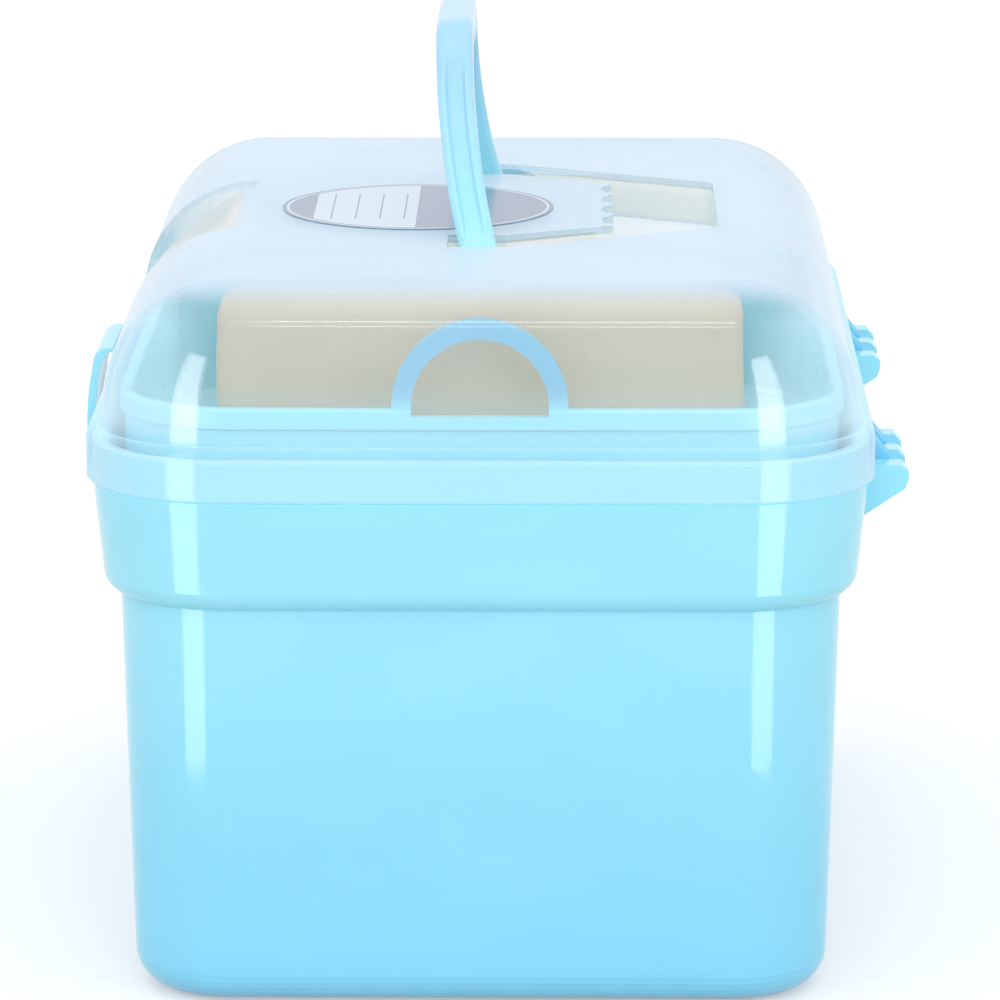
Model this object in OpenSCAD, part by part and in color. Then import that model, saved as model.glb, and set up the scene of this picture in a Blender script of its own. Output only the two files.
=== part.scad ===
// Grooming box for horse care: a blue tub, a clear domed lid on two back hinges, a carry handle that
// folds into a well in the lid, a front latch, and a lift-out tray with a grip arch at each end.
// Millimetres. X runs along the box, the latch is at -Y, the hinges are at +Y, and Z=0 is the floor.

/* [Box] */
// Length of the box over the lid lip
box_l = 300; // [280:1:330]
// Width of the box over the lid lip
box_w = 200; // [190:1:220]
// Corner radius of the lid lip, seen from above
corner_r = 36; // [32:1:44]

/* [Tub] */
// Height of the tub body, up to the step below the rim band
body_h = 104.3; // [90:0.1:125]
// Height of the rim band, from the step to the shoulder under the lid
band_h = 28.7; // [26:0.1:36]
// Height of the thin rim that stands up inside the lid
rim_h = 10.3; // [8:0.1:14]
// Wall thickness of the tub
tub_wall = 2.2; // [1.6:0.1:2.6]
// Thickness of the tub floor
tub_floor = 2.4; // [1.8:0.1:4]
// Radius of the rounded bottom edge
foot_r = 10; // [5:0.5:14]
// Radius of the rounded lower edge of the rim band
band_round = 6.2; // [5:0.1:7]
// How far the body stands inside the lid lip at the floor
body_inset_low = 11.2; // [9.6:0.1:12.5]
// How far the body stands inside the lid lip at the step
body_inset_high = 8.35; // [7.8:0.05:9]
// How far the rim band stands inside the lid lip at its lower edge
band_inset_low = 3.9; // [3.4:0.1:4.2]
// How far the rim band stands inside the lid lip at the shoulder
band_inset_high = 1.6; // [1.2:0.1:2]

/* [Lid] */
// Height of the lid, from the lip to the flat top
lid_h = 50.4; // [46:0.1:60]
// Wall thickness of the clear dome
lid_wall = 1.8; // [1.4:0.1:2.2]
// Wall thickness of the lid skirt round the rim
skirt_wall = 1.5; // [1.2:0.1:1.8]
// Height of the straight skirt
skirt_h = 10.4; // [9:0.1:12]
// Radius of the shoulder between skirt and dome
shoulder_r = 3.2; // [2.6:0.1:3.6]
// Draft of the dome wall in degrees
dome_draft = 8.2; // [4:0.1:10]
// Gap between the skirt and the rim inside it
rim_gap = 1; // [0.8:0.1:1.4]
// Gap between the lid and what it closes on
seat_gap = 0.3; // [0.2:0.1:0.6]

/* [Handle] */
// Distance from the box end to the outer face of a handle leg
handle_end = 84.5; // [82:0.5:90]
// Distance between the outer faces of the handle at the grip
grip_span = 62; // [50:1:76]
// Reach from the pivot line to the outer face of the grip
handle_reach = 60.8; // [54:0.1:66]
// Width of the handle strap
strap_w = 9.6; // [8:0.1:10.6]
// Thickness of the strap in the legs
strap_t = 6.4; // [5:0.1:7.5]
// Forward bow of the legs at half their height
handle_bow = 2.1; // [0:0.1:2.4]
// Radius of the bend between leg and grip
corner_bend = 14; // [8:0.5:15]
// Extra thickness of the grip between the finger hollows
grip_extra = 2.2; // [0:0.1:3.5]
// Depth of the groove along the outer face of each leg
groove_d = 1.3; // [0.6:0.1:1.8]
// Diameter of the pivot stubs
stub_d = 4.4; // [3.6:0.1:5.2]
// Forward lean of the handle on its stop, in degrees
handle_lean = 8; // [4:0.5:10]

/* [Handle well] */
// Depth of the well that the handle folds into
well_depth = 12; // [11:0.1:14]
// Side gap between handle and well
well_gap = 2.4; // [1.6:0.1:3]
// Room for the legs in front of the pivot line
well_front = 9.5; // [8.5:0.1:11]
// Width of the leg channels
channel_w = 18; // [15:0.5:20]
// Distance from the pivot line to the tips of the scalloped edge
island_edge = 34; // [28:0.5:38]
// Number of finger scallops in that edge
scallop_count = 4; // [3:1:5]
// Depth of a finger scallop
scallop_d = 3; // [1.5:0.1:4]
// Wall thickness of the well
well_wall = 1.8; // [1.4:0.1:2.4]

/* [Finger notch] */
// Length of the notch over the latch
notch_l = 76; // [60:1:90]
// Where the notch starts on the flat top, from the box middle
notch_top = 63; // [60:0.5:63.5]
// Drop from the flat top to the lower end of the notch
notch_drop = 26.5; // [22:0.5:27]
// Rise of the notch floor above its straight chord
notch_bulge = 2.5; // [1.5:0.1:4]

/* [Hinges] */
// Distance of each hinge middle from the box middle
hinge_x = 74; // [60:1:90]
// Length of a hinge
hinge_l = 46; // [40:1:60]
// Width of a tub ear
ear_w = 7.2; // [6:0.1:9]
// Reach of the ears round the hinge pin
ear_r = 4.4; // [4:0.1:4.6]
// Distance of the hinge pin behind the lid lip
hinge_out = 5.3; // [5.2:0.1:6]
// Drop from the tub shoulder to the hinge pin
hinge_drop = 4.8; // [4.7:0.1:5.4]
// Diameter of the hinge and latch pins
pin_d = 3; // [2.6:0.1:3.4]
// Drop from the tub shoulder to the foot of the gusset under an ear
gusset_h = 15.5; // [15:0.5:18]
// Closed wall at each end of a hinge bore
pin_cap = 1.6; // [1:0.1:2.5]
// Gap between an ear and a knuckle
ear_gap = 0.4; // [0.3:0.05:0.7]

/* [Latch] */
// Width of the latch plate
latch_w = 36; // [32:1:44]
// Thickness of the latch plate
latch_t = 2.3; // [1.8:0.1:2.8]
// Drop from the tub shoulder to the latch pin
latch_drop = 19; // [17:0.5:20]
// Distance of the latch pin in front of the lid lip
latch_out = 4.5; // [4.2:0.1:5.5]
// Radius of the latch barrel
barrel_r = 3.4; // [3:0.1:3.8]
// Height above the pin where the plate starts to lean in
latch_bend = 10; // [6:0.5:14]
// How far the plate leans in
latch_lean = 2.4; // [1.5:0.1:2.8]
// Outer radius of the hook at the top of the plate
hook_r = 4; // [3:0.1:5]
// Thickness of the hook
hook_t = 1.2; // [1:0.1:1.6]
// How far the hook reaches over the lid shoulder when it is home
hook_in = 0.6; // [0.4:0.1:0.7]
// Width of a latch lug on the tub
lug_w = 5; // [4:0.1:7]
// Distance between the middles of the two lugs
lug_pitch = 20; // [18:0.5:22]

/* [Tray] */
// End gap between the tray and the rim band
tray_end_gap = 19.9; // [18:0.1:32]
// Height of the tray wall
tray_h = 45.7; // [36:0.1:47]
// Wall thickness of the tray
tray_wall = 2; // [1.6:0.1:2.6]
// Corner radius of the tray
tray_r = 30; // [20:1:36]
// Height of the turned-out tray rim
tray_rim_h = 5.6; // [4:0.1:8]
// How far the tray rim stands out
tray_rim_out = 1.2; // [0.8:0.1:1.4]
// Side gap between the tray and the rim band
tray_side_gap = 2.6; // [2.2:0.1:3]
// Outer radius of the grip arch
arch_r = 22.3; // [18:0.1:26]
// Band width of the grip arch
arch_band = 4.9; // [3.5:0.1:6]
// Thickness of the grip arch along the box
arch_t = 4; // [3:0.1:5]

/* [Sponges] */
// Length of a sponge across the tray
sponge_l = 137; // [110:1:150]
// Height of a sponge standing on edge
sponge_h = 68.6; // [50:0.1:69]
// Thickness of a sponge
sponge_t = 29; // [20:1:31]
// Gap between a sponge and the end of the tray
sponge_end_gap = 20; // [18:0.5:26]
// Edge radius of a sponge
sponge_r = 7; // [4:0.5:12]

/* [Label] */
// Diameter of the round name label
label_d = 73; // [60:1:76]
// Thickness of the label
label_t = 0.3; // [0.2:0.05:0.5]
// Label middle along the box
label_x = 6; // [-4:1:6]
// Distance of the label middle in front of the pivot line
label_front = 18.5; // [16:0.5:22]

/* [Hidden] */
$fn = 64;

blue = "#8fdcfb";
clear = [0.85, 0.93, 0.97, 0.45];
steel = "#c9cdd2";
beige = "#d6c9a6";
slate = "#8f9fb4";

// Small allowances shared by several pieces
eps = 0.01;
fit_tight = 0.02;
fit_turn = 0.06;
clear_gap = 0.5;
edge_break = 0.5;

// Corner axes of the rounded box in plan, and a section distance from an inset
axis_x = box_l / 2 - corner_r;
axis_y = box_w / 2 - corner_r;
function reach_at(inset) = corner_r - inset;
function mix(a, b, t) = a + (b - a) * t;
function squared(a) = a * a;
function arc(mid, r, from, to, steps) =
    [for (i = [0 : steps]) mid + r * [cos(mix(from, to, i / steps)), sin(mix(from, to, i / steps))]];

// Levels
shoulder_z = body_h + band_h;
rim_top = shoulder_z + rim_h;
lip_z = shoulder_z + 2 * seat_gap;
lid_top = lip_z + lid_h;
ledge_z = body_h + tub_wall;

// Tub section
body_low = reach_at(body_inset_low);
body_high = reach_at(body_inset_high);
band_low = reach_at(band_inset_low);
band_high = reach_at(band_inset_high);
rim_out = reach_at(skirt_wall + rim_gap);
rim_wall = tub_wall - 0.2;
rim_foot = 5;
rim_in = rim_out - rim_wall;
foot_reach = mix(body_low, body_high, foot_r / body_h);
step_angle = acos((body_high - band_low + band_round) / band_round);
band_z = body_h + band_round * sin(step_angle);
ledge_r = 2.5;
ledge_in = band_low - tub_wall - ledge_r;

// Lid section
skirt_in = reach_at(skirt_wall);
foot_d = corner_r - shoulder_r;
foot_z = lip_z + skirt_h + shoulder_r;
lid_seat_z = rim_top + seat_gap;
fillet_d = 0.2;
dome_rise = lid_top - foot_z;
dome_r = (foot_d - fillet_d - dome_rise * tan(dome_draft))
    / (cos(dome_draft) - tan(dome_draft) + sin(dome_draft) * tan(dome_draft));
fillet_z = lid_top - dome_r;

// Handle pivot and well, around the middle of the lid top
well_floor = lid_top - well_depth;
pivot_z = well_floor + seat_gap + strap_w / 2;
handle_span = box_l - 2 * handle_end;
pivot_x = handle_span / 2;
leg_slope = (handle_span - grip_span) / 2 / handle_reach;
leg_angle = atan(leg_slope);
leg_run = [-leg_slope, 1] / norm([leg_slope, 1]);
well_half = pivot_x + well_gap;
well_end = handle_reach + 1;
well_turn = strap_w / 2 + 1;
well_corner = 5;
stub_r = stub_d / 2;
stub_end = well_half + well_wall;
boss_r = stub_r + 2.2;

// Hinge axis
hinge_y = box_w / 2 + hinge_out;
hinge_z = shoulder_z - hinge_drop;
pin_r = pin_d / 2;
knuckle_w = (hinge_l - 3 * ear_w - 4 * ear_gap) / 2;
knuckle_r = ear_r - 0.2;

// Latch axis
latch_y = -box_w / 2 - latch_out;
latch_z = shoulder_z - latch_drop;

// Tray
tray_floor_z = ledge_z + seat_gap;
tray_top = tray_floor_z + tray_h;
tray_half_w = axis_y + band_low - tub_wall - tray_side_gap;
tray_half_l = axis_x + band_low - tub_wall - tray_end_gap;
tray_axis_x = tray_half_l - tray_r;
tray_axis_y = tray_half_w - tray_r;
tray_flare = 0.4;
tray_out = tray_r + tray_flare + tray_rim_out;
tray_soft = 0.8;
tray_fillet = 2;
arch_sink = 2;
arch_z = tray_top + edge_break;
arch_x = tray_half_l - arch_t / 2 + tray_rim_out;

// Sweeps a half section round a rounded rectangle; the section's x is the distance from the corner axes
module sweep_round(ax, ay) {
    for (k = [0 : 3]) {
        sx = (k == 0 || k == 3) ? ax : -ax;
        sy = (k < 2) ? ay : -ay;
        translate([sx, sy, 0]) rotate([0, 0, 90 * k]) rotate_extrude(angle = 90) children();
    }
    for (s = [0, 180]) {
        rotate([0, 0, s]) translate([-ax, ay, 0]) rotate([90, 0, 90])
            linear_extrude(2 * ax) children();
        rotate([0, 0, s]) translate([ax, ay, 0]) rotate([90, 0, 0])
            linear_extrude(2 * ay) children();
    }
}

// Plate that closes the middle of such a sweep
module mid_plate(ax, ay, z0, z1) {
    translate([-ax, -ay, z0]) cube([2 * ax, 2 * ay, z1 - z0]);
}

// Bar along the box with a section drawn in Y and Z
module bar_x(from, to) {
    translate([from, 0, 0]) rotate([90, 0, 90]) linear_extrude(to - from) children();
}

module rod_x(r, from, to, y, z) {
    translate([from, y, z]) rotate([0, 90, 0]) cylinder(r = r, h = to - from);
}

// The same rod on both sides of the box
module rod_pair(r, from, to, y, z) {
    rod_x(r, from, to, y, z);
    rod_x(r, -to, -from, y, z);
}

// Tub
module tub_section() {
    polygon(concat(
        [[0, 0]],
        arc([foot_reach - foot_r, foot_r], foot_r, -90, 0, 8),
        arc([band_low - band_round, band_z], band_round, -step_angle, 0, 7),
        [[band_high, shoulder_z], [rim_out, shoulder_z], [rim_out, rim_top - edge_break],
         [rim_out - edge_break, rim_top], [rim_in + edge_break, rim_top], [rim_in, rim_top - edge_break],
         [rim_in, shoulder_z - rim_foot]],
        arc([ledge_in, ledge_z + ledge_r], ledge_r, 0, -90, 5),
        [[body_high - tub_wall, ledge_z]],
        arc([foot_reach - foot_r, foot_r], foot_r - tub_wall, 0, -90, 7),
        [[foot_reach - foot_r, tub_floor], [0, tub_floor]]
    ));
}

// Starts of the three ears of a hinge, measured from its end
ear_starts = [0, ear_w + knuckle_w + 2 * ear_gap, 2 * (ear_w + knuckle_w + 2 * ear_gap)];

// Side view of an ear: a gusset round the pin, flat on top, that sinks into the wall of the rim band
module ear_section() {
    sunk = tub_wall / 2;
    top_z = hinge_z + ear_r;
    back_y = hinge_y + ear_r;
    bevel = 0.4 * ear_r;
    polygon([
        [axis_y + band_high - sunk, top_z], [axis_y + band_low - sunk / 2, shoulder_z - gusset_h],
        [back_y - bevel / 2, hinge_z - bevel], [back_y, hinge_z + bevel / 2],
        [back_y, top_z - bevel], [back_y - bevel, top_z]
    ]);
}

// Rod on the axis of one hinge, short of the hinge ends
module hinge_rod(side, r, short) {
    half = hinge_l / 2 - short;
    rod_x(r, side * hinge_x - half, side * hinge_x + half, hinge_y, hinge_z);
}

module hinge_ears() {
    for (side = [-1, 1])
        for (start = ear_starts)
            bar_x(side * hinge_x - hinge_l / 2 + start, side * hinge_x - hinge_l / 2 + start + ear_w)
                ear_section();
}

module lug_section() {
    wall_y = -axis_y - band_low + tub_wall / 2;
    difference() {
        union() {
            translate([latch_y, latch_z]) circle(r = barrel_r);
            polygon([
                [latch_y, latch_z + barrel_r], [wall_y, latch_z + barrel_r + 2],
                [wall_y, latch_z - 2 * barrel_r], [latch_y, latch_z - barrel_r]
            ]);
        }
        translate([latch_y, latch_z]) circle(r = pin_r + fit_tight);
    }
}

module base_tub() {
    color(blue) difference() {
        union() {
            sweep_round(axis_x, axis_y) tub_section();
            mid_plate(axis_x, axis_y, 0, tub_floor);
            hinge_ears();
            for (side = [-1, 1])
                bar_x(side * lug_pitch / 2 - lug_w / 2, side * lug_pitch / 2 + lug_w / 2) lug_section();
        }
        for (side = [-1, 1]) hinge_rod(side, pin_r + fit_tight, pin_cap);
    }
}

// Lid: the dome as a half section, shrunk by an inset
module dome_section(inset) {
    side = inset / cos(dome_draft);
    tangent_d = fillet_d + (dome_r - inset) * cos(dome_draft);
    tangent_z = fillet_z + (dome_r - inset) * sin(dome_draft);
    polygon([
        [0, lip_z], [foot_d - side, lip_z], [foot_d - side, foot_z], [tangent_d, tangent_z], [0, tangent_z]
    ]);
    translate([fillet_d, fillet_z]) intersection() {
        circle(r = dome_r - inset, $fn = 128);
        translate([-fillet_d, 0]) square([dome_r + fillet_d, dome_r]);
    }
}

module lid_section() {
    difference() {
        union() {
            dome_section(0);
            polygon(concat(
                [[0, lip_z], [corner_r - edge_break, lip_z], [corner_r, lip_z + edge_break]],
                arc([foot_d, foot_z - shoulder_r], shoulder_r, 0, 90, 6),
                [[0, foot_z]]
            ));
        }
        dome_section(lid_wall);
        translate([0, lip_z - 1]) square([skirt_in, lid_seat_z - lip_z + 1]);
    }
}

// Well for the folded handle: a U of two leg channels and a bar, round the plateau that carries the label.
// grow widens it by a wall on every side.
module well_plan(grow) {
    lean_grow = grow / cos(leg_angle);
    end_y = well_end + grow;
    side_x = well_half + lean_grow;
    end_x = side_x - leg_slope * (end_y - well_turn);
    tip = well_corner + grow;
    corner_cut = tip * tan((90 - leg_angle) / 2);
    low = [end_x, end_y] - corner_cut * leg_run;
    high = [end_x - corner_cut, end_y];
    mid = [high.x, end_y - tip];
    half = concat(
        [[well_half + grow, -well_front - grow], [well_half + grow, well_turn]],
        [low], arc(mid, tip, leg_angle, 90, 6)
    );
    difference() {
        polygon(concat(half, [for (i = [len(half) - 1 : -1 : 0]) [-half[i].x, half[i].y]]));
        island_plan(grow);
    }
}

module island_plan(grow) {
    lean_grow = grow / cos(leg_angle);
    edge_y = island_edge - grow;
    inner_x = well_half - channel_w - grow;
    tip_x = inner_x - leg_slope * (edge_y - well_turn) - (lean_grow - grow);
    pitch = 2 * tip_x / scallop_count;
    scallop_r = (squared(pitch / 2 - 1) + squared(scallop_d)) / (2 * scallop_d);
    difference() {
        polygon([
            [inner_x, -well_front - well_wall - 1], [inner_x, well_turn], [tip_x, edge_y],
            [-tip_x, edge_y], [-inner_x, well_turn], [-inner_x, -well_front - well_wall - 1]
        ]);
        for (i = [0 : scallop_count - 1])
            translate([-tip_x + (i + 0.5) * pitch, edge_y - scallop_d + scallop_r]) circle(r = scallop_r);
    }
}

// Side view of the dome, for the finger notch
module dome_side() {
    mirror([1, 0]) {
        translate([axis_y, 0]) dome_section(0);
        translate([0, lip_z]) square([axis_y + eps, lid_h]);
    }
}

notch_from = [-notch_top, lid_top];
notch_low_z = lid_top - notch_drop;
notch_to = [-axis_y - fillet_d - sqrt(squared(dome_r) - squared(notch_low_z - fillet_z)), notch_low_z];
notch_chord = norm(notch_to - notch_from);
notch_r = (squared(notch_chord / 2) + squared(notch_bulge)) / (2 * notch_bulge);
notch_dir = (notch_to - notch_from) / notch_chord;
notch_mid = (notch_from + notch_to) / 2 + (notch_r - notch_bulge) * [-notch_dir.y, notch_dir.x];

module notch_section(inset) {
    difference() {
        dome_side();
        translate(notch_mid) circle(r = notch_r - inset, $fn = 256);
        translate([-notch_top + inset / 2, lip_z - 1]) square([2 * box_w, 3 * lid_h]);
        translate([-box_w, lip_z - 1]) square([2 * box_w, notch_low_z - inset - lip_z + 1]);
    }
}

// Side view of a lid knuckle: a ring round the pin on a tongue from the skirt
module knuckle_section() {
    skirt_y = box_w / 2 - skirt_wall / 2;
    difference() {
        union() {
            translate([hinge_y, hinge_z]) circle(r = knuckle_r);
            polygon([
                [skirt_y, lip_z + edge_break], [hinge_y - knuckle_r, hinge_z], [hinge_y, hinge_z],
                [hinge_y, hinge_z + knuckle_r], [skirt_y, lip_z + 1.5 * knuckle_r]
            ]);
        }
        translate([hinge_y, hinge_z]) circle(r = pin_r + fit_turn);
    }
}

module lid() {
    color(clear) difference() {
        union() {
            difference() {
                union() {
                    sweep_round(axis_x, axis_y) lid_section();
                    mid_plate(axis_x, axis_y, lid_top - lid_wall, lid_top);
                    bar_x(-notch_l / 2 - lid_wall, notch_l / 2 + lid_wall) notch_section(lid_wall);
                    translate([0, 0, well_floor - well_wall])
                        linear_extrude(well_depth + well_wall) well_plan(well_wall);
                }
                bar_x(-notch_l / 2, notch_l / 2) notch_section(0);
                translate([0, 0, well_floor]) linear_extrude(well_depth + 1) well_plan(0);
            }
            rod_pair(boss_r, well_half + eps, stub_end + 1, 0, pivot_z);
            for (side = [-1, 1])
                for (start = [ear_starts[0], ear_starts[1]]) {
                    from = side * hinge_x - hinge_l / 2 + start + ear_w + ear_gap;
                    bar_x(from, from + knuckle_w) knuckle_section();
                }
        }
        rod_pair(stub_r + fit_turn, well_half - 1, stub_end + 2, 0, pivot_z);
    }
}

// Carry handle: one strap swept from pivot to pivot, with a groove outside and finger hollows in the grip
leg_top = handle_reach - strap_t / 2;
leg_foot_x = pivot_x - strap_t / 2 / cos(leg_angle);
leg_top_x = leg_foot_x - leg_slope * leg_top;
bend_cut = corner_bend * tan((90 - leg_angle) / 2);
bend_mid = [leg_top_x - bend_cut, leg_top - corner_bend];
leg_end = [leg_top_x, leg_top] - bend_cut * leg_run;
leg_steps = 8;
bend_steps = 6;
grip_steps = 24;
half_path = concat(
    [for (i = [0 : leg_steps - 1]) mix([leg_foot_x, 0], leg_end, i / leg_steps)],
    arc(bend_mid, corner_bend, leg_angle, 90, bend_steps)
);
grip_half = bend_mid.x;
strap_path = concat(
    half_path,
    [for (i = [1 : grip_steps - 1]) [mix(grip_half, -grip_half, i / grip_steps), leg_top]],
    [for (i = [len(half_path) - 1 : -1 : 0]) [-half_path[i].x, half_path[i].y]]
);
// Outward normals along the strap
function strap_normal(i) =
    let (
        a = strap_path[max(i - 1, 0)],
        b = strap_path[min(i + 1, len(strap_path) - 1)],
        t = (b - a) / norm(b - a)
    )
    [t.y, -t.x];
// Finger hollows swell the inside of the grip between them
function grip_swell(p) =
    let (u = (p.x + grip_half) / (2 * grip_half))
    p.y < leg_top - eps || u < 0 || u > 1 ? 0 : grip_extra * squared(sin(180 * scallop_count * u));
// The groove fades in above the pivot and out below the grip, as shares of the leg
groove_from = 0.14;
groove_to = 0.86;
groove_fade = 0.08;
function groove_at(p) =
    let (u = p.y / leg_top)
    groove_d * max(0, min(1, (u - groove_from) / groove_fade, (groove_to - u) / groove_fade));
// The legs bow forward between pivot and grip
function bow_at(p) = let (u = p.y / leg_top) 4 * handle_bow * u * (1 - u);
// Ring of points of the strap section: [across, outward]
edge_soft = 1.4;
edge_cut = 0.4 * edge_soft;
groove_half = strap_w / 2 - 1.5 * edge_soft;
groove_slant = 0.7;
grip_crown = 0.3;
function strap_ring(groove, swell) =
    let (
        a = strap_w / 2,
        top = strap_t / 2,
        low = -strap_t / 2 - swell,
        floor_half = groove_half - groove_slant
    )
    [[-a + edge_soft, top], [-groove_half, top], [-floor_half, top - groove], [0, top - groove],
     [floor_half, top - groove], [groove_half, top], [a - edge_soft, top],
     [a - edge_cut, top - edge_cut], [a, top - edge_soft],
     [a, low + edge_soft], [a - edge_cut, low + edge_cut], [a - edge_soft, low],
     [0, low - grip_crown],
     [-a + edge_soft, low], [-a + edge_cut, low + edge_cut], [-a, low + edge_soft],
     [-a, top - edge_soft], [-a + edge_cut, top - edge_cut]];

module strap() {
    n = len(strap_path);
    rings = [for (i = [0 : n - 1])
        let (p = strap_path[i], out = strap_normal(i))
        [for (q = strap_ring(groove_at(p), grip_swell(p)))
            [p.x + out.x * q.y, q.x - bow_at(p), p.y + out.y * q.y]]];
    m = len(rings[0]);
    ends = [[strap_path[0].x, 0, 0], [-strap_path[0].x, 0, 0]];
    points = concat([for (r = rings) each r], ends);
    sides = [for (i = [0 : n - 2]) for (j = [0 : m - 1])
        let (k = (j + 1) % m)
        each [[i * m + j, (i + 1) * m + k, i * m + k], [i * m + j, (i + 1) * m + j, (i + 1) * m + k]]];
    caps = [for (j = [0 : m - 1])
        let (k = (j + 1) % m)
        each [[j, k, n * m], [(n - 1) * m + k, (n - 1) * m + j, n * m + 1]]];
    polyhedron(points, concat(sides, caps));
}

module carry_handle() {
    color(blue) translate([0, 0, pivot_z]) rotate([handle_lean, 0, 0]) {
        strap();
        rod_pair(strap_w / 2, leg_foot_x - strap_t / 2, pivot_x, 0, 0);
        rod_pair(stub_r, pivot_x - 1, stub_end, 0, 0);
    }
}

// Front latch: a plate on a barrel, with a hook that snaps over the lid shoulder.
// It stands a little open, so that the lid is free to turn.
latch_open = 1.8;
latch_steps = 10;
hook_tip = latch_out + hook_in;
hook_d = shoulder_r - hook_in;
hook_low = foot_z - shoulder_r + sqrt(squared(shoulder_r) - squared(hook_d)) + seat_gap - latch_z;
latch_top = hook_low + hook_t;
latch_turn = latch_top - hook_r;
function latch_skin(z) =
    let (t = max(0, (z - latch_bend) / (latch_turn - latch_bend)))
    [latch_lean * t * t - barrel_r + edge_break, z];

module latch_plate() {
    skin = [for (i = [0 : latch_steps]) latch_skin(latch_turn * i / latch_steps)];
    hook_mid = skin[latch_steps] + [hook_r, 0];
    back = [for (i = [latch_steps : -1 : 0]) skin[i] + [latch_t, 0]];
    polygon(concat(
        skin, arc(hook_mid, hook_r, 180, 90, 6),
        [[hook_tip, latch_top], [hook_tip, hook_low], [hook_mid.x, hook_low]], back
    ));
}

module front_latch() {
    slot = lug_w + 2 * ear_gap;
    half = latch_w / 2;
    color(blue) translate([0, latch_y, latch_z]) rotate([latch_open, 0, 0]) difference() {
        union() {
            bar_x(-half, half) latch_plate();
            rod_x(barrel_r, -half, half, 0, 0);
        }
        rod_x(pin_r + fit_turn, -half - 1, half + 1, 0, 0);
        for (side = [-1, 1])
            translate([side * lug_pitch / 2 - slot / 2, -barrel_r - 1, -barrel_r - 1])
                cube([slot, 3 * barrel_r, 2 * barrel_r + 2 + clear_gap]);
    }
}

// Tray: drafted walls with a turned-out rim, and a grip arch at each end
module tray_section() {
    rim_low = tray_top - tray_rim_h;
    top_in = tray_r + tray_flare - tray_wall;
    low_in = tray_r - tray_wall;
    floor_top = tray_floor_z + tray_wall;
    polygon([
        [0, tray_floor_z], [tray_r - tray_soft, tray_floor_z], [tray_r, tray_floor_z + tray_soft],
        [tray_r + tray_flare, rim_low], [tray_out - edge_break, rim_low], [tray_out, rim_low + edge_break],
        [tray_out, tray_top - tray_soft], [tray_out - tray_soft, tray_top],
        [top_in + edge_break, tray_top], [top_in, tray_top - edge_break],
        [low_in, floor_top + tray_fillet], [low_in - tray_fillet, floor_top], [0, floor_top]
    ]);
}

module arch_section(r) {
    low = tray_top - arch_sink;
    intersection() {
        translate([0, arch_z]) circle(r = r, $fn = 96);
        translate([-2 * r, arch_z]) square([4 * r, 2 * r]);
    }
    translate([-r, low]) square([2 * r, arch_z - low]);
}

module inner_tray() {
    color(blue) difference() {
        union() {
            sweep_round(tray_axis_x, tray_axis_y) tray_section();
            mid_plate(tray_axis_x, tray_axis_y, tray_floor_z, tray_floor_z + tray_wall);
            for (side = [-1, 1])
                bar_x(side * arch_x - arch_t / 2, side * arch_x + arch_t / 2) arch_section(arch_r);
        }
        for (side = [-1, 1])
            bar_x(side * arch_x - arch_t, side * arch_x + arch_t) arch_section(arch_r - arch_band);
    }
}

// Steel pins
module hinge_pin(side) {
    color(steel) hinge_rod(side, pin_r, pin_cap + seat_gap);
}

module hinge_pin_left() {
    hinge_pin(-1);
}

module hinge_pin_right() {
    hinge_pin(1);
}

module latch_pin() {
    color(steel) rod_x(pin_r, -latch_w / 2 + 1, latch_w / 2 - 1, latch_y, latch_z);
}

// Round paper label on the plateau of the lid
module name_label() {
    color(slate) translate([label_x, -label_front, lid_top]) cylinder(d = label_d, h = label_t, $fn = 96);
}

// Sponges standing on edge in the tray, one near each end
module sponge(side) {
    low = tray_floor_z + tray_wall;
    outer = tray_half_l - sponge_end_gap;
    inner = side > 0 ? outer - sponge_t : -outer;
    color(beige) bar_x(inner, inner + sponge_t) {
        translate([-sponge_l / 2, low + sponge_r]) square([sponge_l, sponge_h - 2 * sponge_r]);
        translate([-sponge_l / 2 + sponge_r, low]) square([sponge_l - 2 * sponge_r, sponge_h]);
        for (y = [-1, 1])
            for (z = [low + sponge_r, low + sponge_h - sponge_r])
                translate([y * (sponge_l / 2 - sponge_r), z]) circle(r = sponge_r);
    }
}

module sponge_near() {
    sponge(1);
}

module sponge_far() {
    sponge(-1);
}

base_tub();
lid();
carry_handle();
front_latch();
inner_tray();
hinge_pin_left();
hinge_pin_right();
latch_pin();
name_label();
sponge_near();
sponge_far();
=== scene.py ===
import bmesh
import bpy
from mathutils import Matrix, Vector, noise


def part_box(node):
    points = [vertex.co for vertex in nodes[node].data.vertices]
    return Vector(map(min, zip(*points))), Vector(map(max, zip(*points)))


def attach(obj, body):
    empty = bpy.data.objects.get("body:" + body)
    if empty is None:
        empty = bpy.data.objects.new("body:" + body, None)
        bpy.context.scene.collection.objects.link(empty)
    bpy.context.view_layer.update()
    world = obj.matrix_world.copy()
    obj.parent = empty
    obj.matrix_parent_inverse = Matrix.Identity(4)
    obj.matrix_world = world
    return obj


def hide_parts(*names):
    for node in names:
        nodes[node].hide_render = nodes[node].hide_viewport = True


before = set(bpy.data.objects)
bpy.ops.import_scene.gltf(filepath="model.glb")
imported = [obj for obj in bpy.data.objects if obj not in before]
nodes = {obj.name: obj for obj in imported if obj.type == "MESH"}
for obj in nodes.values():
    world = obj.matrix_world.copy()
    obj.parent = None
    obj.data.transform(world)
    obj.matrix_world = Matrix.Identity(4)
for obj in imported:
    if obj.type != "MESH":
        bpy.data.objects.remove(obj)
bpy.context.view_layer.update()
scene = bpy.context.scene
scene.view_settings.view_transform = "Standard"

WHITE = (1, 1, 1, 1)
# Most values of a noise texture lie between these two
NOISE_LOW, NOISE_HIGH = 0.3, 0.7

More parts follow.
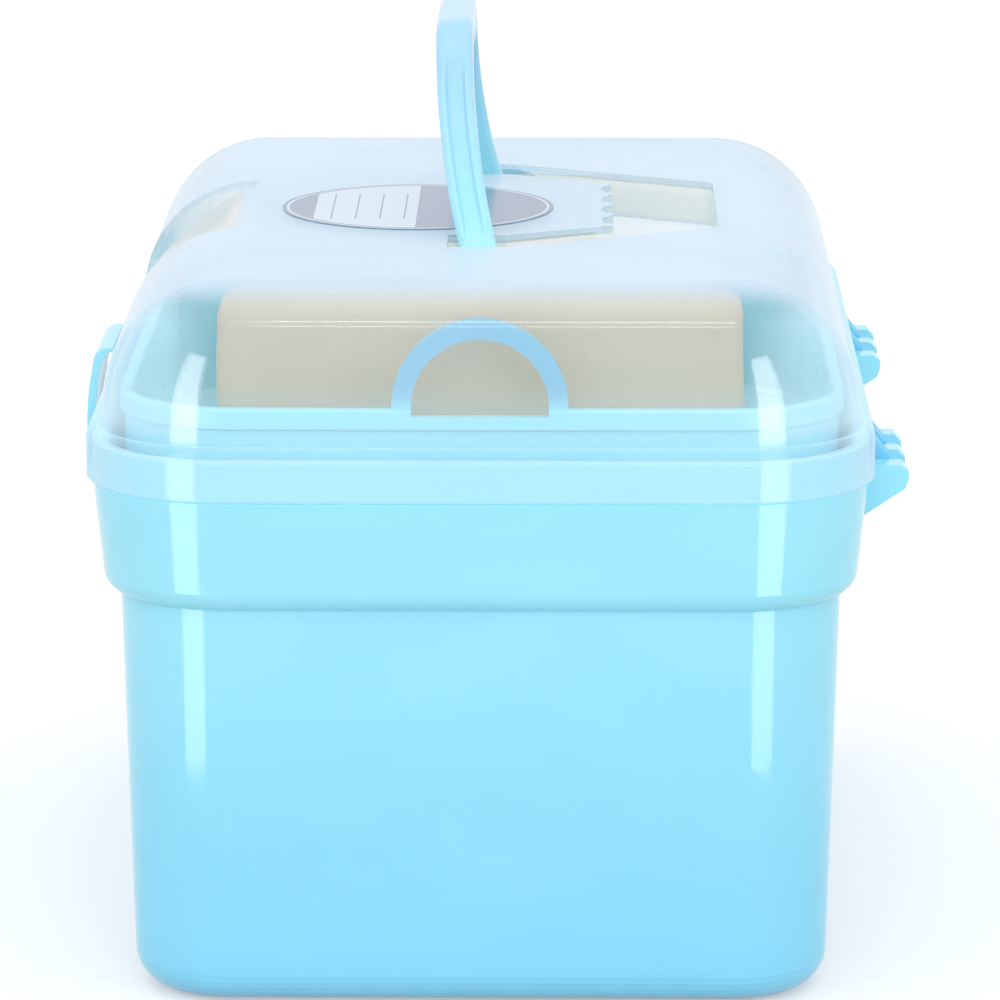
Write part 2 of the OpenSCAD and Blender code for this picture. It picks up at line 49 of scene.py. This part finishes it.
# The lid's zones in metres. First boxes, as limits for X, Y and Z, or Y and Z for the knuckles.
LID_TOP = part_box("lid")[1][2]
UNDER_PLATE = LID_TOP - 0.0022
WELL = ((-0.064, 0.064), (-0.012, 0.064), (0.169, UNDER_PLATE))
NOTCH = ((-0.0382, 0.0382), (-0.105, -0.0632), (LID_TOP - 0.0267, UNDER_PLATE))
KNUCKLES = ((0.1005, 0.112), (0.115, 0.146))
# Then soft steps: distances from the middle and heights at which each starts and is complete
# The corner and foot steps mark where pale blue haze is painted as light over shade
CORNER_IN, CORNER_OUT, CORNER_END = (0.066, 0.079), (0.103, 0.094), (0.10, 0.13)
CORNER_LOW, CORNER_HIGH = (0.148, 0.152), (0.180, 0.1755)
FOOT = (0.163, 0.149)
LIP = (0.147, 0.149)
# DOME parts the paler painted wall haze from the darker top haze
DOME = (0.155, 0.175)
SHOULDER = (0.165, 0.178)
# SEAT parts the well's floor from its walls, which get the palest painted light
SEAT = (0.1720, 0.1735)
DULL = (0.1785, 0.1825)
FROST = (0.1795, 0.1834)

# The label's print in metres from its middle; a rule's half width is a share of the pitch
RING = (0.0347, 0.0354)
FIELD_RADIUS, FIELD_Y = 0.0338, (-0.0275, 0.0)
RULE_PITCH, RULE_HALF, RULE_X = 0.0065, 0.035, (-0.020, 0.020)

# The sponges' shape in metres
SPONGE_ROUND = 0.006
SPONGE_CUTS = 23
SPONGE_FLAT_FOOT = 0.012
SPONGE_WAVE, SPONGE_GRAIN = 0.0009, 0.00025

FLOOR_REACH, FLOOR_DROP = 12.0, 0.0003


# Node helpers

def new_material(name):
    """A material with one Principled shader: the material, its node tree, the shader and the output."""
    mat = bpy.data.materials.new(name)
    mat.use_nodes = True
    tree = mat.node_tree
    tree.nodes.clear()
    out = tree.nodes.new("ShaderNodeOutputMaterial")
    shader = tree.nodes.new("ShaderNodeBsdfPrincipled")
    tree.links.new(shader.outputs["BSDF"], out.inputs["Surface"])
    return mat, tree, shader, out


def node(tree, kind, **values):
    """A node with its properties set, and its unlinked inputs by name."""
    n = tree.nodes.new("ShaderNode" + kind)
    for key, value in values.items():
        if hasattr(n, key):
            setattr(n, key, value)
        else:
            n.inputs[key.replace("_", " ")].default_value = value
    return n


def feed(tree, socket, value):
    """Links an input to another node's output, or sets its number or colour."""
    if isinstance(value, bpy.types.NodeSocket):
        tree.links.new(value, socket)
    else:
        socket.default_value = (*value, 1) if isinstance(value, tuple) else value


def coords(tree, scale=(1, 1, 1), shift=(0, 0, 0)):
    """Object coordinates in metres, scaled and shifted."""
    where = node(tree, "TexCoord")
    mapping = node(tree, "Mapping")
    mapping.inputs["Scale"].default_value = scale
    mapping.inputs["Location"].default_value = shift
    tree.links.new(where.outputs["Object"], mapping.inputs["Vector"])
    return mapping.outputs["Vector"]


def axes(tree, vector):
    """The X, Y and Z of a vector."""
    split = node(tree, "SeparateXYZ")
    tree.links.new(vector, split.inputs["Vector"])
    return tuple(split.outputs[axis] for axis in "XYZ")


def noise_at(tree, vector, scale, detail=2.0, rough=0.5, distort=0.0):
    n = node(tree, "TexNoise", Scale=scale, Detail=detail, Roughness=rough, Distortion=distort)
    tree.links.new(vector, n.inputs["Vector"])
    return n.outputs["Fac"]


def ramp(tree, fac, stops, mode="LINEAR"):
    """A colour ramp with two stops."""
    r = node(tree, "ValToRGB")
    r.color_ramp.interpolation = mode
    for element, (at, colour) in zip(r.color_ramp.elements, stops):
        element.position = at
        element.color = (*colour, 1)
    tree.links.new(fac, r.inputs["Fac"])
    return r.outputs["Color"]


def tones(tree, fac, dark, light):
    """A noise as a colour between two."""
    return ramp(tree, fac, [(NOISE_LOW, dark), (NOISE_HIGH, light)])


def remap(tree, value, low, high, to_low, to_high):
    m = node(tree, "MapRange")
    for name, v in (("From Min", low), ("From Max", high), ("To Min", to_low), ("To Max", to_high)):
        m.inputs[name].default_value = v
    tree.links.new(value, m.inputs["Value"])
    return m.outputs["Result"]


def mix_colour(tree, fac, a, b, blend="MIX"):
    m = node(tree, "Mix", data_type="RGBA", blend_type=blend)
    for socket, value in ((m.inputs[0], fac), (m.inputs[6], a), (m.inputs[7], b)):
        feed(tree, socket, value)
    return m.outputs[2]


def mix_shader(tree, fac, a, b):
    m = node(tree, "MixShader")
    for socket, value in zip(m.inputs, (fac, a, b)):
        feed(tree, socket, value)
    return m.outputs["Shader"]


def maths(tree, operation, *values):
    """A Math node; each value is a number or a socket."""
    m = node(tree, "Math", operation=operation)
    for socket, value in zip(m.inputs, values):
        feed(tree, socket, value)
    return m.outputs[0]


def inside(tree, *zones):
    """1 where every value lies between its limits, else 0."""
    share = 1.0
    for value, (low, high) in zones:
        off = maths(tree, "ABSOLUTE", maths(tree, "SUBTRACT", value, (low + high) / 2))
        share = maths(tree, "MULTIPLY", share, maths(tree, "LESS_THAN", off, (high - low) / 2))
    return share


def fading(tree, *steps):
    """The product of soft steps, each from 0 where it starts to 1 where it is complete."""
    share = 1.0
    for value, (start, complete) in steps:
        share = maths(tree, "MULTIPLY", share, remap(tree, value, start, complete, 0, 1))
    return share


def bump(tree, shader, height, strength, distance):
    b = node(tree, "Bump", Strength=strength, Distance=distance)
    tree.links.new(height, b.inputs["Height"])
    tree.links.new(b.outputs["Normal"], shader.inputs["Normal"])


# Materials

def blue_plastic(name, low, high, z_low, z_high, rough=0.17, ends=0.0):
    """Translucent light-blue polypropylene: flow marks, a tone that changes with height beyond the given
    distance from the middle, which is painted light and shade, and a faint moulded grain."""
    mat, tree, shader, _ = new_material(name)
    where = coords(tree)
    x, _, z = axes(tree, where)
    # The height grade is painted light and shade, not a tone of the plastic
    rise = remap(tree, z, z_low, z_high, 0, 1)
    if ends:
        outer = maths(tree, "GREATER_THAN", maths(tree, "ABSOLUTE", x), ends)
        rise = maths(tree, "MULTIPLY", rise, outer)
    painted_shading = ramp(tree, rise, [(0.0, low), (1.0, high)], "EASE")
    flow = noise_at(tree, coords(tree, scale=(1, 1, 2.5)), scale=11, detail=3, distort=1.2)
    cloud = tones(tree, flow, (0.93, 0.965, 0.985), (1, 1, 1))
    tree.links.new(mix_colour(tree, 1.0, painted_shading, cloud, "MULTIPLY"), shader.inputs["Base Color"])
    patches = noise_at(tree, where, scale=60, detail=3)
    uneven = remap(tree, patches, NOISE_LOW, NOISE_HIGH, rough - 0.03, rough + 0.05)
    tree.links.new(uneven, shader.inputs["Roughness"])
    shader.inputs["Subsurface Weight"].default_value = 0.15
    shader.inputs["Subsurface Radius"].default_value = (0.5, 0.9, 1.0)
    shader.inputs["Subsurface Scale"].default_value = 0.005
    shader.inputs["IOR"].default_value = 1.49
    bump(tree, shader, noise_at(tree, where, scale=420), strength=0.05, distance=0.0004)
    return mat


def clear_plastic():
    """Clear lid plastic: a milky haze, thicker in the frosted top and at a glancing view, under a gloss
    that is weaker on the lip and duller on the top.
    Painted light in the haze: paler on the walls than on the top, thicker and paler in the well, thicker
    and pale blue at the near corners and the foot, over shade. The knuckles take the blue of the ears
    beside them. Lamp light passes it."""
    mat, tree, shader, out = new_material("lid_plastic")
    where = coords(tree)
    x, y, z = axes(tree, where)
    side = maths(tree, "ABSOLUTE", y)
    veil = noise_at(tree, where, scale=14, detail=3, distort=0.8)
    well = inside(tree, *zip((x, y, z), WELL))
    notch = inside(tree, *zip((x, y, z), NOTCH))
    knuckle = inside(tree, *zip((y, z), KNUCKLES))
    # Masks for the painted light at the near corners and the foot
    corner_painted_light = fading(tree, (side, CORNER_IN), (side, CORNER_OUT), (x, CORNER_END),
                    (z, CORNER_LOW), (z, CORNER_HIGH))
    foot_painted_light = fading(tree, (z, FOOT))

    # Colour of the haze, with painted light and shade
    # Painted light and shade: the haze on the walls is paler than on the top, evening out the stronger
    # light on the top
    milk = tones(tree, veil, (0.56, 0.71, 0.85), (0.61, 0.75, 0.88))
    wall = tones(tree, veil, (0.76, 0.91, 0.98), (0.81, 0.94, 0.99))
    shell_painted_light = mix_colour(tree, fading(tree, (z, DOME)), wall, milk)
    # Painted light: pale blue haze at the near corners and the foot, over the shade seen through them
    painted_light_tint = mix_colour(tree, maths(tree, "MAXIMUM", corner_painted_light, foot_painted_light), shell_painted_light, (0.60, 0.86, 1.0))
    # Painted light in the well: paler haze, palest on its walls, lifting the shade in the recess
    well_painted_light = mix_colour(tree, fading(tree, (z, SEAT)), (0.80, 0.85, 0.90), (0.99, 0.95, 0.93))
    colour = mix_colour(tree, well, painted_light_tint, well_painted_light)
    colour = mix_colour(tree, notch, colour, (0.70, 0.72, 0.71))
    colour = mix_colour(tree, knuckle, colour, (0.22, 0.62, 0.88))
    tree.links.new(colour, shader.inputs["Base Color"])
    shader.inputs["Roughness"].default_value = 0.3
    shader.inputs["Specular IOR Level"].default_value = 0.0

    # Share of the haze and of the gloss
    frost = remap(tree, z, *FROST, 0.07, 0.30)
    haze = maths(tree, "ADD", frost, remap(tree, veil, NOISE_LOW, NOISE_HIGH, -0.02, 0.03))
    # Thicker haze in the well, the near corners and the foot is painted light over their shade
    for share, more in ((well, 0.5), (notch, 0.1), (knuckle, 0.6), (corner_painted_light, 0.2), (foot_painted_light, 0.15)):
        haze = maths(tree, "MULTIPLY_ADD", share, more, haze)
    facing = node(tree, "LayerWeight", Blend=0.5).outputs["Facing"]
    glancing = maths(tree, "POWER", facing, 3.0)
    edge = maths(tree, "MULTIPLY", glancing, remap(tree, z, *SHOULDER, 1.0, 0.8))
    path = node(tree, "LightPath")
    passes = maths(tree, "MAXIMUM", path.outputs["Is Shadow Ray"], path.outputs["Is Diffuse Ray"])
    stays = maths(tree, "SUBTRACT", 1.0, passes)
    thick = maths(tree, "MINIMUM", maths(tree, "ADD", edge, haze), 0.95)
    solid = maths(tree, "MULTIPLY", thick, stays)
    mirrored = maths(tree, "MULTIPLY_ADD", maths(tree, "POWER", facing, 5.0), 0.4, 0.045)
    lip = remap(tree, z, *LIP, 0.35, 1.0)
    gloss = maths(tree, "MULTIPLY", maths(tree, "MULTIPLY", mirrored, lip), stays)

    # Clear gap, haze and gloss together
    gap = node(tree, "BsdfTransparent", Color=(0.97, 0.985, 0.995, 1))
    mirror = node(tree, "BsdfGlossy", Color=WHITE)
    smooth = remap(tree, noise_at(tree, where, scale=45, detail=3), NOISE_LOW, NOISE_HIGH, 0.04, 0.09)
    dull = remap(tree, z, *DULL, 0.0, 0.3)
    tree.links.new(maths(tree, "ADD", smooth, dull), mirror.inputs["Roughness"])
    bump(tree, mirror, noise_at(tree, where, scale=30), strength=0.01, distance=0.0006)
    hazy = mix_shader(tree, solid, gap.outputs["BSDF"], shader.outputs["BSDF"])
    both = mix_shader(tree, gloss, hazy, mirror.outputs["BSDF"])
    tree.links.new(both, out.inputs["Surface"])
    return mat


def steel():
    """Drawn steel wire, with fine marks along X."""
    mat, tree, shader, _ = new_material("steel")
    drawn = noise_at(tree, coords(tree, scale=(4, 300, 300)), scale=1.0, detail=4)
    tree.links.new(tones(tree, drawn, (0.55, 0.56, 0.58), (0.70, 0.71, 0.73)), shader.inputs["Base Color"])
    tree.links.new(remap(tree, drawn, 0.2, 0.8, 0.25, 0.4), shader.inputs["Roughness"])
    shader.inputs["Metallic"].default_value = 1.0
    return mat


def foam():
    """Beige sponge: fine closed pores, painted darker as shade in the pits, over a slightly uneven colour.
    """
    mat, tree, shader, _ = new_material("sponge_foam")
    where = coords(tree)
    cells = node(tree, "TexVoronoi", Scale=900.0, Randomness=1.0)
    tree.links.new(where, cells.inputs["Vector"])
    # Painted shade: the pores are darker where their pits are shaded, and the same mask bumps them
    pores_and_shade = ramp(tree, cells.outputs["Distance"], [(0.0, (0, 0, 0)), (0.3, (1, 1, 1))])
    patches = noise_at(tree, where, scale=22, detail=3)
    blotch = tones(tree, patches, (0.59, 0.49, 0.34), (0.66, 0.55, 0.38))
    tree.links.new(mix_colour(tree, pores_and_shade, (0.53, 0.44, 0.30), blotch), shader.inputs["Base Color"])
    shader.inputs["Roughness"].default_value = 0.8
    shader.inputs["Sheen Weight"].default_value = 0.1
    bump(tree, shader, pores_and_shade, strength=0.12, distance=0.0003)
    return mat


def label():
    """Round printed label: slate with a pale ring and a blank ruled field."""
    mat, tree, shader, _ = new_material("label_print")
    low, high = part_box("name_label")
    mid = (Vector(low) + Vector(high)) / 2
    where = coords(tree, shift=(-mid.x, -mid.y, 0))
    x, y, _ = axes(tree, where)
    squares = maths(tree, "ADD", maths(tree, "MULTIPLY", x, x), maths(tree, "MULTIPLY", y, y))
    radius = maths(tree, "SQRT", squares)
    ring = inside(tree, (radius, RING))
    disc = maths(tree, "LESS_THAN", radius, FIELD_RADIUS)
    field = maths(tree, "MULTIPLY", disc, inside(tree, (y, FIELD_Y)))
    turn = maths(tree, "FRACT", maths(tree, "DIVIDE", y, RULE_PITCH))
    line_at = maths(tree, "ABSOLUTE", maths(tree, "SUBTRACT", turn, 0.5))
    lines = maths(tree, "LESS_THAN", line_at, RULE_HALF)
    rules = maths(tree, "MULTIPLY", lines, inside(tree, (x, RULE_X)))
    fibre = noise_at(tree, where, scale=900, detail=3)
    slate = tones(tree, fibre, (0.195, 0.265, 0.385), (0.235, 0.305, 0.425))
    white = tones(tree, fibre, (0.54, 0.67, 0.79), (0.59, 0.71, 0.82))
    ruled = mix_colour(tree, rules, white, slate)
    ringed = mix_colour(tree, ring, slate, white)
    tree.links.new(mix_colour(tree, field, ringed, ruled), shader.inputs["Base Color"])
    shader.inputs["Roughness"].default_value = 0.22
    bump(tree, shader, fibre, strength=0.02, distance=0.0001)
    return mat


def dress(name, mat):
    data = nodes[name].data
    data.materials.clear()
    data.materials.append(mat)


# Painted light on the tub: darker at the bottom, lighter towards the band
tub_blue = blue_plastic("tub_blue", (0.25, 0.70, 0.95), (0.34, 0.79, 0.95), 0.0, 0.125, rough=0.09)
# Painted shade on the tray: darker on the rim and the arch at the ends
tray_blue = blue_plastic("tray_blue", (0.34, 0.89, 1.0), (0.20, 0.55, 0.76), 0.150, 0.157, ends=0.118)
# Painted light and shade on the handle: lighter on the legs, darker on the grip where the light from above
# is strongest
handle_blue = blue_plastic("handle_blue", (0.42, 0.83, 0.98), (0.39, 0.67, 0.92), 0.18, 0.24)
# Painted light on the latch: lighter towards the top, as on the tub
latch_blue = blue_plastic("latch_blue", (0.32, 0.76, 0.95), (0.36, 0.79, 0.95), 0.11, 0.15)
lid_clear = clear_plastic()
pin_steel = steel()
dress("base_tub", tub_blue)
dress("inner_tray", tray_blue)
dress("carry_handle", handle_blue)
dress("front_latch", latch_blue)
dress("lid", lid_clear)
dress("name_label", label())
for pin in ("hinge_pin_left", "hinge_pin_right", "latch_pin"):
    dress(pin, pin_steel)


# Sponges: rounded foam blocks with uneven faces, flat at the foot

sponge_foam = foam()


def sponge(name, seed):
    low, high = (Vector(v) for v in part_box(name))
    mid, half = (low + high) / 2, (high - low) / 2
    mesh = bpy.data.meshes.new(name + "_foam")
    bm = bmesh.new()
    bmesh.ops.create_cube(bm, size=2.0)
    bmesh.ops.subdivide_edges(bm, edges=bm.edges[:], cuts=SPONGE_CUTS, use_grid_fill=True)
    room = [h - SPONGE_ROUND for h in half]
    for v in bm.verts:
        p = Vector((v.co.x * half.x, v.co.y * half.y, v.co.z * half.z))
        core = Vector(max(-room[i], min(room[i], p[i])) for i in range(3))
        p = core + (p - core).normalized() * SPONGE_ROUND
        flat = min(1.0, (p.z + half.z) / SPONGE_FLAT_FOOT)
        wave = noise.noise(Vector((p.x * 30 + seed, p.y * 22, p.z * 30)))
        grain = noise.noise(Vector((p.x * 160, p.y * 160 + seed, p.z * 160)))
        inward = (core - p).normalized()
        p += inward * flat * (SPONGE_WAVE * (wave + 1) + SPONGE_GRAIN * (grain + 1))
        v.co = mid + p
    bmesh.ops.recalc_face_normals(bm, faces=bm.faces[:])
    bm.to_mesh(mesh)
    bm.free()
    mesh.shade_smooth()
    mesh.materials.append(sponge_foam)
    obj = bpy.data.objects.new(name + "_foam", mesh)
    scene.collection.objects.link(obj)
    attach(obj, "tray")
    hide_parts(name)


sponge("sponge_near", 1.7)
sponge("sponge_far", 8.3)


# Studio: white surroundings, a pale floor, two soft lamps, and three strips that only show as highlights

def white_for_sight(tree):
    """1 for rays that show the surroundings, by sight, in gloss or through glass."""
    path = node(tree, "LightPath")
    seen = maths(tree, "MAXIMUM", path.outputs["Is Camera Ray"], path.outputs["Is Glossy Ray"])
    return maths(tree, "MAXIMUM", seen, path.outputs["Is Transmission Ray"])


world = bpy.data.worlds.new("studio")
scene.world = world
world.use_nodes = True
sky = world.node_tree
sky.nodes.clear()
sky_out = node(sky, "OutputWorld")
sky_light = node(sky, "Background", Color=WHITE)
sky.links.new(remap(sky, white_for_sight(sky), 0, 1, 1.05, 1.0), sky_light.inputs["Strength"])
sky.links.new(sky_light.outputs["Background"], sky_out.inputs["Surface"])

floor_mat = bpy.data.materials.new("floor")
floor_mat.use_nodes = True
ground = floor_mat.node_tree
ground.nodes.clear()
ground_out = node(ground, "OutputMaterial")
ground_matt = node(ground, "BsdfDiffuse", Color=(0.62, 0.62, 0.62, 1))
ground_glow = node(ground, "Emission", Color=WHITE)
ground.links.new(remap(ground, white_for_sight(ground), 0, 1, 0.0, 0.38), ground_glow.inputs["Strength"])
ground_both = node(ground, "AddShader")
ground.links.new(ground_matt.outputs["BSDF"], ground_both.inputs[0])
ground.links.new(ground_glow.outputs["Emission"], ground_both.inputs[1])
ground.links.new(ground_both.outputs["Shader"], ground_out.inputs["Surface"])

floor_mesh = bpy.data.meshes.new("floor")
floor_corners = [(x * FLOOR_REACH, y * FLOOR_REACH, 0) for x, y in ((-1, -1), (1, -1), (1, 1), (-1, 1))]
floor_mesh.from_pydata(floor_corners, [], [(0, 1, 2, 3)])
floor_mesh.materials.append(floor_mat)
floor = bpy.data.objects.new("floor", floor_mesh)
floor.location.z = -FLOOR_DROP
scene.collection.objects.link(floor)


def aim(obj, at, towards):
    """Puts a lamp or a camera at one place, looking towards another."""
    obj.location = at
    obj.rotation_euler = (Vector(towards) - Vector(at)).to_track_quat("-Z", "Y").to_euler()


def lamp(name, at, towards, size, watts, gloss_only):
    """A soft rectangular lamp, seen either only in gloss or only as light on the surfaces."""
    light = bpy.data.lights.new(name, "AREA")
    light.shape = "RECTANGLE"
    light.size, light.size_y = size
    light.energy = watts
    obj = bpy.data.objects.new(name, light)
    aim(obj, at, towards)
    obj.visible_camera = False
    obj.visible_transmission = False
    obj.visible_diffuse = not gloss_only
    obj.visible_glossy = gloss_only
    scene.collection.objects.link(obj)


BOX_MIDDLE = (0, 0, 0.1)
TALL_STRIP = (0.085, 0.398)
lamp("key_top", (0.5, -0.3, 1.9), BOX_MIDDLE, (1.6, 1.6), watts=2.0, gloss_only=False)
lamp("fill_front", (2.2, 0.1, 0.9), BOX_MIDDLE, (1.4, 1.4), watts=11.5, gloss_only=False)
lamp("strip_left", (0.290, -0.185, 0.200), (0.130, -0.070, 0.200), TALL_STRIP, watts=0.44, gloss_only=True)
lamp("strip_right", (0.298, 0.176, 0.200), (0.130, 0.070, 0.200), TALL_STRIP, watts=0.44, gloss_only=True)
lamp("strip_top", (0.139, -0.001, 0.777), (0.139, -0.001, 0.1), (0.012, 0.178), watts=0.05, gloss_only=True)


# Camera, as fitted to the photograph

camera = bpy.data.cameras.new("camera")
camera.lens = 214.7
camera.sensor_width = 36.0
camera.clip_start, camera.clip_end = 0.05, 100.0
eye = bpy.data.objects.new("camera", camera)
aim(eye, (1.5946, 0.02308, 0.45055), (0, 0.00353, 0.10191))
scene.collection.objects.link(eye)
scene.camera = eye
